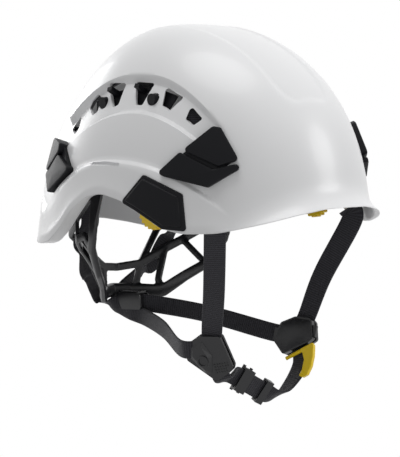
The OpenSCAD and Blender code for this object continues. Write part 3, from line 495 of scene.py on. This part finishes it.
def shell_plate(corners, rings, side, centre=None):
    """Plate that follows the dome: rings are (level above the dome, inset of the outline, corner radius)."""
    loops = [(level, inset(corners, step, radius)) for level, step, radius in rings]
    top, last = loops[-1]
    middle = np.array(centre, float) if centre else last.mean(axis=0)
    loops += [(top, middle + (last - middle) * k) for k in (0.97, 0.85, 0.65, 0.42, 0.2)]
    n = len(last)
    points = []

    def place(x, z, level):
        t = meridian(x, z)
        p, normal = dome(t, z)
        q = p + (skin(t, z) - 0.8 if level is None else level) * normal
        points.append((q[0], side * q[1], q[2]))

    for level, loop in loops:
        for x, z in loop:
            place(x, z, level)
    place(*middle, top)
    place(*middle, None)
    faces = sides(n, len(loops) - 1)
    base = (len(loops) - 1) * n
    faces += [(base + i, base + (i + 1) % n, len(points) - 2) for i in range(n)]
    faces += [((i + 1) % n, i, len(points) - 1) for i in range(n)]
    return points, faces


FRONT_HOOK = [[76.5, 72.5], [87.5, 85], [90, 84.5], [102, 67], [95.5, 64]]
FRONT_BASE = [[71.5, 68], [62, 57.3], [64, 56.5], [91, 50.5], [104, 61], [92.5, 57.5]]
FRONT_BED = [[62, 57.3], [76.5, 72.5], [87.5, 85], [90, 84.5], [102, 67], [97, 62], [91, 50.5]]
REAR_HOOK = [[-56, 73], [-44, 70.5], [-43.5, 67.5], [-58, 55]]
REAR_BASE = [[-43, 62.5], [-27, 55.5], [-51, 40.5], [-59, 50]]
REAR_BED = [[-56, 73], [-44, 70.5], [-27, 55.5], [-59, 50]]
COVER = [[48.5, 52.8], [62, 47.5], [75, 41.8], [77, 31], [78.7, 21], [66, 21.8], [45, 33.5], [36, 37.3]]


def raised(height, grow=2.2, bevel=0.9):
    """Rings of a raised plate: (level, inset, corner radius), with a rounded upper edge."""
    return [
        (None, -grow, 2.2), (height - bevel, -grow, 2.2),
        (height - 0.25 * bevel, -grow + 0.35 * bevel, 1.9), (height, -grow + bevel, 1.5),
    ]


def build_plates():
    bed = [(None, -1.4, 1.6), (1.2, -1.4, 1.6), (1.5, -1, 1.3)]
    cover = [
        (None, -2.2, 2.2), (2.3, -2.2, 2.2), (2.9, -1.8, 2),
        (3.1, 0.1, 1.2), (4.2, 0.6, 1), (4.5, 1, 0.8),
    ]
    looks = {
        "front_lamp_clip": [
            (FRONT_HOOK, raised(5), None), (FRONT_BASE, raised(4.2), (83, 55)), (FRONT_BED, bed, None),
        ],
        "rear_lamp_clip": [
            (REAR_HOOK, raised(5), None), (REAR_BASE, raised(4.2), None), (REAR_BED, bed, None),
        ],
        "side_cover": [(COVER, cover, (62, 37))],
    }
    for kind, plates in looks.items():
        for word, side in (("right", -1), ("left", 1)):
            parts = [shell_plate(corners, rings, side, centre) for corners, rings, centre in plates]
            piece = mesh_object(f"{kind}_{word}_skin", *joined(parts), BLACK, "trim_black", 24)
            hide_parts(f"{kind}_{word}")
            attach(piece, ROOT)


build_plates()

# ---------------------------------------------------------------- moulded pieces: finish and rounded edges
FITTINGS = (
    "strap_adjuster_front", "strap_adjuster_back", "buckle_cover", "buckle_button_front",
    "buckle_button_rear", "ladder_lock", "strap_keeper", "nape_strap_slider", "nape_cradle",
)
# Width of the rounded edges, node by node
BEVELS = {
    "strap_adjuster_front": 0.5, "strap_adjuster_back": 0.5,
    "buckle_body": 0.5, "buckle_cover": 0.5, "buckle_button_front": 0.35, "buckle_button_rear": 0.35,
    "ladder_lock": 0.3, "strap_keeper": 0.3, "nape_strap_slider": 0.4, "forehead_band": 0.35,
    "sliding_arm_right": 0.3, "sliding_arm_left": 0.3, "adjust_wheel_right": 0.25, "adjust_wheel_left": 0.25,
    "headband_hangers": 0.4, "cradle_anchors": 0.4, "pivot_pins": 0.3,
}


def soften(obj, width):
    bevel = obj.modifiers.new("edges", "BEVEL")
    bevel.width = MM * width
    bevel.segments = 3
    bevel.limit_method = "ANGLE"
    bevel.angle_limit = math.radians(28)
    bevel.harden_normals = False
    bevel.use_clamp_overlap = True


for name, node in NODES.items():
    node.data.materials.clear()
    node.data.materials.append(SATIN if name in FITTINGS else SLOT_LOOK[SLOT_OF[name]])
    if name in BEVELS:
        soften(node, BEVELS[name])

fuse(NODES["nape_cradle"], 0.7, 8)

# ---------------------------------------------------------------- webbing
def fitting(centre, lean, yaw):
    """Frame of a strap fitting: x forwards, z up, leaned about x, then turned about z."""
    turn = Matrix.Rotation(math.radians(yaw), 3, "Z") @ Matrix.Rotation(math.radians(lean), 3, "X")
    turn = np.array(turn)
    return np.array(centre, float), turn


ADJUSTER = fitting((60, -42, -72), 11, 25.5)
BUCKLE = fitting((60, 42, -66), -17, 14)


def at(frame_of, v):
    return frame_of[0] + frame_of[1] @ np.array(v, float)


def way(frame_of, v):
    return frame_of[1] @ np.array(v, float)


def curve(points, steps):
    """Smooth curve through the points, steps pieces between neighbours."""
    p = np.array(points, float)
    out = []
    for i in range(len(p) - 1):
        a, b, c, d = p[max(i - 1, 0)], p[i], p[i + 1], p[min(i + 2, len(p) - 1)]
        for u in np.arange(steps) / steps:
            square, cube = 2 * a - 5 * b + 4 * c - d, 3 * b - a - 3 * c + d
            out.append(0.5 * (2 * b + (c - a) * u + square * u**2 + cube * u**3))
    out.append(p[-1])
    return np.array(out)


def band(name, points, ways, width, thick, columns=10, span=None):
    """Woven band with rounded edges; ways are the directions of its width, UVs are millimetres."""
    n = len(points)
    first, last = span or (0, n - 1)
    length = np.concatenate([[0], np.cumsum(np.linalg.norm(np.diff(points, axis=0), axis=1))])
    edge = thick / 2
    half = width / 2 - edge
    section = [(mix(-half, half, k / columns), edge) for k in range(columns + 1)]
    section += [(half + edge * math.sin(a), edge * math.cos(a)) for a in (0.9, 1.57, 2.24)]
    section += [(mix(half, -half, k / columns), -edge) for k in range(columns + 1)]
    section += [(-half - edge * math.sin(a), -edge * math.cos(a)) for a in (0.9, 1.57, 2.24)]
    m = len(section)
    verts, uvs = [], []
    for i in range(first, last + 1):
        along = unit(points[min(i + 1, n - 1)] - points[max(i - 1, 0)])
        side = unit(ways[i] - (ways[i] @ along) * along)
        face = np.cross(along, side)
        for s, h in section:
            verts.append(points[i] + side * s + face * h)
            uvs.append((length[i], s + (100 if h < 0 else 0)))
    rows = last - first
    faces = [
        (i * m + k, (i + 1) * m + k, (i + 1) * m + (k + 1) % m, i * m + (k + 1) % m)
        for i in range(rows) for k in range(m)
    ]
    faces += [tuple(range(m)), tuple(range(rows * m, (rows + 1) * m))[::-1]]
    obj = mesh_object(name, verts, faces, WEB, "webbing_black", 50)
    layer = obj.data.uv_layers.new(name="weave")
    for loop in obj.data.loops:
        layer.data[loop.index].uv = uvs[loop.vertex_index]
    return obj


def stitches(name, points, ways, width, thick, spans):
    """Raised threads in boxes over the spans (start, end) along the band; below 0 they count from its end."""
    length = np.concatenate([[0], np.cumsum(np.linalg.norm(np.diff(points, axis=0), axis=1))])
    parts = []

    def place(s, across):
        i = int(np.clip(np.searchsorted(length, s) - 1, 0, len(points) - 2))
        k = (s - length[i]) / max(1e-6, length[i + 1] - length[i])
        p, along = mix(points[i], points[i + 1], k), unit(points[i + 1] - points[i])
        side = unit(ways[i] - (ways[i] @ along) * along)
        return p + side * across, along, side, np.cross(along, side)

    def thread(s, across, lengthwise):
        for sign in (-1, 1):
            p, along, side, face = place(s, across)
            d = along if lengthwise else side
            e = side if lengthwise else along
            c = p + face * sign * (thick / 2 + 0.06)
            quad = [c - d * 0.9, c + e * 0.22, c + d * 0.9, c - e * 0.22, c + face * sign * 0.28]
            order = [(0, 1, 4), (1, 2, 4), (2, 3, 4), (3, 0, 4), (3, 2, 1, 0)]
            parts.append((quad, [f[::-1] for f in order] if sign < 0 else order))

    for start, end in spans:
        start, end = (start, end) if start > 0 else (length[-1] + start, length[-1] + end)
        for across in (-width / 2 + 2, width / 2 - 2):
            for s in np.arange(start, end, 2.4):
                thread(s, across, True)
        for s in (start, end):
            for across in np.arange(-width / 2 + 2.6, width / 2 - 2, 2.4):
                thread(s, across, False)
    return mesh_object(name, *joined(parts), THREAD, "webbing_black", 30)


STRAP, REAR_STRAP, CHIN_STRAP, STRAP_THICK = 15.0, 13.0, 14.0, 1.6
FRONT_TOP = [[91.2, -68.1, 32.6], [93.2, -70.1, 20]]
FRONT_TOP_LEFT = [[87.5, 65.2, 27.2], [89.6, 67.3, 18.5]]
REAR_ROUTE = [
    [-55, -75, 56.8], [-57, -58, 42], [-61, -50.5, 26], [-66, -45, 12], [-77, -44, -1], [-80, -39, -9.5],
    [-85.2, -33.5, -23], [-89.5, -23, -30], [-95, -14.5, -40], [-96.5, -9.5, -48.5], [-91, -7, -51],
]
REAR_WAYS = [
    [-1, -0.6, 0], [-1, -0.65, 0], [-0.8, -0.6, 0], [-0.5, -0.8, 0], [0, -0.95, 0.2], [0.4, -0.87, 0.2],
    [0.35, -0.85, 0.4], [0.2, -0.9, 0.35], [0.2, -1, 0.1], [0.25, -1, 0.1], [0.2, -0.9, 0.35],
]
CHIN_ROUTE = [[61, -23, -86.5], [62.5, -14, -91], [65, 3, -100.5], [66, 13, -104.5], [66, 25, -101]]
CHIN_WAYS = [[0.5, 0.4, 0.77], [0.3, 0.42, 0.85], [0.4, 0.45, 0.8], [0.75, 0.25, 0.6], [0.95, 0.1, 0.3]]


def front_strap(name, top, end, end_way, w, twist, sag):
    top, end, w, twist = np.array(top, float), np.array(end), np.array(w), np.array(twist, float)
    route = [top[0], top[1], (top[1] + end) / 2 + np.array(sag), end - 12 * end_way, end]
    points = curve(route, 12)
    ways = curve([twist, twist, (twist + w) / 2, w, w], 12)
    piece = band(name, points, ways, STRAP, STRAP_THICK)
    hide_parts(name)
    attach(piece, ROOT)
    return points, ways


def rear_strap(name, side, last, frame_of, entry):
    flip = np.array([1, side * -1.0, 1])
    end = at(frame_of, entry)
    up = way(frame_of, (0, 0, 1))
    route = [np.array(q) * flip for q in REAR_ROUTE] + [np.array(q, float) for q in last]
    route += [end - 14 * way(frame_of, (1, 0, 0)), end]
    ways = [np.array(q) * flip for q in REAR_WAYS] + [np.array([0, 0, 1.0])] * len(last) + [up, up]
    points, ways = curve(route, 9), curve(ways, 9)
    # The strap is made in stretches around where the headband slides and the cradle swings: each stretch spans
    # one joint
    slider = 9 * (len(REAR_ROUTE) + 1)
    ahead = next(i for i in range(slider, len(points)) if points[i][0] > -28)
    stretches = [
        ("top", 0, 27, ROOT, "headband_arms", (0, 0, 50), (0, 0, 16)),
        ("cradle", 27, slider, "headband_arms", "nape_cradle", (0, 0, 8), (0, 0, -20)),
        ("slider", slider, ahead, "nape_cradle", "headband_arms", (-58, 0, 0), (-32, 0, 0)),
        ("front", ahead, len(points) - 1, "headband_arms", ROOT, (-24, 0, 0), (30, 0, 0)),
    ]
    for part, first, last_row, a, b, start, finish in stretches:
        span = (first, last_row)
        piece = band(f"{name}_{part}", points, ways, REAR_STRAP, STRAP_THICK, columns=8, span=span)
        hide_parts(name)
        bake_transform(piece)


ANCHOR_LEVEL, ANCHOR_INSET, CRADLE_WIDTH, CRADLE_THICK = 80.0, 9.0, 20.0, 1.4


def anchor_reach(azimuth):
    """How far from the middle the webbing cradle is held on one azimuth."""
    if azimuth == 90:
        t = 90
    elif azimuth < 90:
        t = math.degrees(math.atan2(math.tan(math.radians(azimuth)) / HALF, 1 / FRONT))
    else:
        t = 180 - math.degrees(math.atan2(math.tan(math.radians(180 - azimuth)) / HALF, 1 / BACK))
    p = dome(t, ANCHOR_LEVEL + 3)[0]
    return math.hypot(p[0], p[1]) - WALL - BAND - ANCHOR_INSET


def cradle_web(name, a, b, top, lead=0.0):
    """Band of webbing from the anchor at azimuth a over the crown to the anchor at azimuth b."""
    turn = math.radians((a + b - 180) / 2)
    points = []
    for phi in np.radians(np.linspace(-90, 90, 57)):
        azimuth = a if phi < 0 else b
        reach = abs(math.sin(phi)) * anchor_reach(abs(azimuth))
        heading = math.radians(azimuth)
        rise = max(0.0, math.cos(phi)) ** 0.8
        x, y = reach * math.cos(heading) + lead, reach * math.sin(heading)
        points.append([x, y, mix(ANCHOR_LEVEL, top, rise)])
    points = np.array(points)
    # The turn over the crown is eased where the two halves meet
    for _ in range(3):
        points[1:-1] = (points[:-2] + 2 * points[1:-1] + points[2:]) / 4
    ways = [np.array([-math.sin(turn), math.cos(turn), 0])] * len(points)
    piece = band(name + "_webbing", points, ways, CRADLE_WIDTH, CRADLE_THICK, columns=12)
    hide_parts(name)
    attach(piece, ROOT)
    seams = stitches(name + "_stitches", points, ways, CRADLE_WIDTH, CRADLE_THICK, [(3, 13), (-13, -3)])
    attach(seams, ROOT)


def build_cradle():
    cradle_web("cradle_strap_right_diagonal", -40, 138, 124)
    cradle_web("cradle_strap_left_diagonal", 40, -138, 126)
    cradle_web("cradle_strap_cross", -90, 90, 128.3, 6)


PAD_CHANNELS = 12  # degrees between the sewn channels


def build_pad():
    """Sewn pad inside the forehead band: full between its channels, drawn in along them and at its edges."""
    pad = node_copy("forehead_pad", "forehead_pad_sewn")
    fuse(pad, 1.1, 10)
    apply_modifiers(pad)
    low = min(v.co.z for v in pad.data.vertices)
    high = max(v.co.z for v in pad.data.vertices)
    moves = []
    for v in pad.data.vertices:
        turn = math.atan2(v.co.y, v.co.x)
        heading = math.degrees(turn)
        level = (v.co.z - low) / (high - low)
        inwards = max(0.0, -(v.normal.x * math.cos(turn) + v.normal.y * math.sin(turn)))
        nearest = PAD_CHANNELS * round(heading / PAD_CHANNELS)
        groove = math.exp(-(((heading - nearest) / 1.1) ** 2)) if abs(nearest) < 36 else 0.0
        groove *= 0.1 < level < 0.9
        border = math.exp(-(((level - 0.13) / 0.05) ** 2)) + math.exp(-(((level - 0.87) / 0.05) ** 2))
        full = math.sin(math.pi * level) * abs(math.sin(math.pi * heading / PAD_CHANNELS)) ** 0.5
        moves.append(inwards * MM * (0.5 * full - 1.1 * max(groove, 0.7 * border)))
    normals = [v.normal.copy() for v in pad.data.vertices]
    for v, normal, move in zip(pad.data.vertices, normals, moves):
        v.co += move * normal
    dress(pad, FABRIC, 60)
    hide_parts("forehead_pad")
    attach(pad, ROOT)


SELECTOR_AT, SELECTOR_SLOPE = (4.0, 0.0, -11.5), 31.0
SELECTOR_BLADE = [
    (14, 0.8), (14.4, -1.5), (11.6, -8.1), (7.3, -14.7), (1.9, -19.2), (-2.2, -19.2),
    (-4.2, -16.9), (-0.3, -13.6), (3.6, -8), (4.2, -2.7), (3.6, 0.8),
]


def build_selector():
    """Yellow lever of the buckle: a round bar across the strap, and one thick blade at its front end."""
    turn = Matrix.Rotation(math.radians(-SELECTOR_SLOPE), 3, "Y")
    bar = [(x, -2.5 + y, z) for x in (-10, 12) for y, z in circle(1.4, 32)]
    bar_faces = [tuple(range(32))[::-1], tuple(range(32, 64))] + sides(32, 1)
    points, faces = joined([(bar, bar_faces), prism(SELECTOR_BLADE, -4.7, -1.25)])
    placed = [at(BUCKLE, np.array(SELECTOR_AT) + np.array(turn @ Vector(p))) for p in points]
    lever = mesh_object("buckle_selector_lever", placed, faces, YELLOW, "accent_yellow", 60)
    fuse(lever, 0.35, 5)
    apply_modifiers(lever)
    dress(lever, YELLOW, 60)
    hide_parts("buckle_selector")
    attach(lever, "buckle_selector")


BUCKLE_OUTLINE = [(-1, 14), (11, 13.5), (13, 11.6), (16, -1), (12, -4), (-6.5, -14), (-16.5, -4), (-12, 9)]


def build_buckle_face():
    """Body of the buckle with flat facets that rise from its edge to one point."""
    body = node_copy("buckle_body", "buckle_body_faceted")
    edge = inset(BUCKLE_OUTLINE, 1.3, 0.6, 2)
    n = len(edge)
    points = [(x, y, z) for y in (-4.95, -5.3) for x, z in edge] + [(2.5, -8.0, 2.0)]
    faces = [tuple(range(n))] + [(i, n + i, n + (i + 1) % n, (i + 1) % n) for i in range(n)]
    faces += [(n + i, 2 * n, n + (i + 1) % n) for i in range(n)]
    cap = mesh_object("cap", [at(BUCKLE, p) for p in points], faces, BLACK, "trim_black")
    combine(body, cap, "UNION")
    soften(body, 0.4)
    apply_modifiers(body)
    dress(body, SATIN, 9)
    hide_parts("buckle_body")
    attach(body, ROOT)


def build_grip_dots():
    """Grid of small raised dots on the low front corner of the strap adjuster."""
    parts = []
    for i in range(6):
        for j in range(4):
            x, z = 2.9 + 1.9 * i + 0.5 * j, -4.6 - 1.9 * j + 0.4 * i
            if z < -13.8 + 0.737 * max(0.0, x - 6) or x > 13:
                continue
            dot = [
                (x + u, y, z + v)
                for radius, y in ((0.62, -3.1), (0.62, -3.65), (0.4, -3.85)) for u, v in circle(radius, 10)
            ]
            faces = [tuple(range(10))[::-1], tuple(range(20, 30))] + sides(10, 2)
            parts.append(([at(ADJUSTER, p) for p in dot], faces))
    dots = mesh_object("adjuster_grip_dots", *joined(parts), SATIN, "trim_black", 30)
    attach(dots, ROOT)


def build_straps():
    front_strap(
        "front_strap_right", FRONT_TOP, at(ADJUSTER, (1.5, 0, 5)), way(ADJUSTER, (0, 0, -1)),
        way(ADJUSTER, (1, 0, 0)), (0.66, 0.75, 0), (0, 0, 0),
    )
    points, ways = front_strap(
        "front_strap_left", FRONT_TOP_LEFT, at(BUCKLE, (1.5, 0, 5)), way(BUCKLE, (-0.35, 0, -0.93)),
        way(BUCKLE, (0.93, 0, -0.35)), (0.8, 0.6, 0), (-3, 0, 0),
    )
    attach(stitches("strap_stitches_left", points, ways, STRAP, STRAP_THICK, [(16, 24)]), ROOT)
    right_last = [[-83, -2.4, -52], [-71, -2.2, -55.5], [-53, -2.4, -58.8], [-12, -21, -62]]
    left_last = [[-83, 2.4, -51.5], [-71, 2.2, -49.2], [-53, 2.4, -48.6], [-12, 21, -54]]
    rear_strap("rear_strap_right", -1, right_last, ADJUSTER, (-8.5, 0, 5))
    rear_strap("rear_strap_left", 1, left_last, BUCKLE, (-6.5, 0, 2))
    start, out = at(ADJUSTER, (4.5, 0, -5)), at(ADJUSTER, (7.5, -0.2, -16))
    finish, near = at(BUCKLE, (3.5, -0.15, -5)), at(BUCKLE, (6.2, 1, -19))
    w, v = way(ADJUSTER, (0.95, 0, 0.3)), way(BUCKLE, (0.95, 0, 0.3))
    chin_ways = [np.array(q) for q in CHIN_WAYS]
    points = curve([start, out] + [np.array(q, float) for q in CHIN_ROUTE] + [near, finish], 10)
    ways = curve([w, w] + chin_ways + [v, v], 10)
    piece = band("chin_strap", points, ways, CHIN_STRAP, STRAP_THICK)
    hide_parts("chin_strap")
    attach(piece, ROOT)


build_straps()
build_cradle()
build_pad()
build_selector()
build_buckle_face()
build_grip_dots()


# ---------------------------------------------------------------- stage, light and camera
def area(name, at_point, size, power, target=(0, 0, 0.04)):
    data = bpy.data.lights.new(name, "AREA")
    data.shape = "DISK"
    data.size = size
    data.energy = power
    lamp = bpy.data.objects.new(name, data)
    bpy.context.scene.collection.objects.link(lamp)
    lamp.location = at_point
    lamp.rotation_euler = (Vector(target) - Vector(at_point)).to_track_quat("-Z", "Y").to_euler()
    return lamp


def build_world():
    """Plain white to the camera and in reflections, a soft grey fill for everything else."""
    world = bpy.data.worlds.new("studio")
    bpy.context.scene.world = world
    world.use_nodes = True
    nodes, links = world.node_tree.nodes, world.node_tree.links
    nodes.clear()
    out = nodes.new("ShaderNodeOutputWorld")
    blend = nodes.new("ShaderNodeMixShader")
    fill = nodes.new("ShaderNodeBackground")
    fill.inputs["Color"].default_value = (1, 1, 1, 1)
    fill.inputs["Strength"].default_value = 0.27
    white = nodes.new("ShaderNodeBackground")
    white.inputs["Color"].default_value = (1, 1, 1, 1)
    white.inputs["Strength"].default_value = 1
    path = nodes.new("ShaderNodeLightPath")
    seen = path.outputs["Is Camera Ray"]
    for kind in ("Is Glossy Ray", "Is Transmission Ray"):
        either = nodes.new("ShaderNodeMath")
        either.operation = "MAXIMUM"
        links.new(seen, either.inputs[0])
        links.new(path.outputs[kind], either.inputs[1])
        seen = either.outputs[0]
    links.new(seen, blend.inputs["Fac"])
    links.new(fill.outputs[0], blend.inputs[1])
    links.new(white.outputs[0], blend.inputs[2])
    links.new(blend.outputs[0], out.inputs["Surface"])


def build_lights():
    area("top", (0, -0.2, 1.5), 1.0, 9.8)
    area("rear_edge", (-1.4, 0.0, 0.4), 0.8, 7.2)
    area("front_edge", (1.2, 0.9, 0.7), 0.8, 9.5)
    area("front", (0.9, -1.0, -0.3), 0.9, 2.4)


def build_camera():
    data = bpy.data.cameras.new("camera")
    data.sensor_fit = "VERTICAL"
    data.sensor_width = 36
    data.sensor_height = 36
    data.lens = 175
    camera = bpy.data.objects.new("camera", data)
    bpy.context.scene.collection.objects.link(camera)
    back = Vector((0.7286, -0.6794, 0.0872))
    target = Vector((0.0009, 0.0023, 0.0105))
    camera.location = target + 1.6 * back
    camera.rotation_euler = back.to_track_quat("Z", "Y").to_euler()
    bpy.context.scene.camera = camera


build_world()
build_lights()
build_camera()
bpy.context.scene.view_settings.view_transform = "Standard"
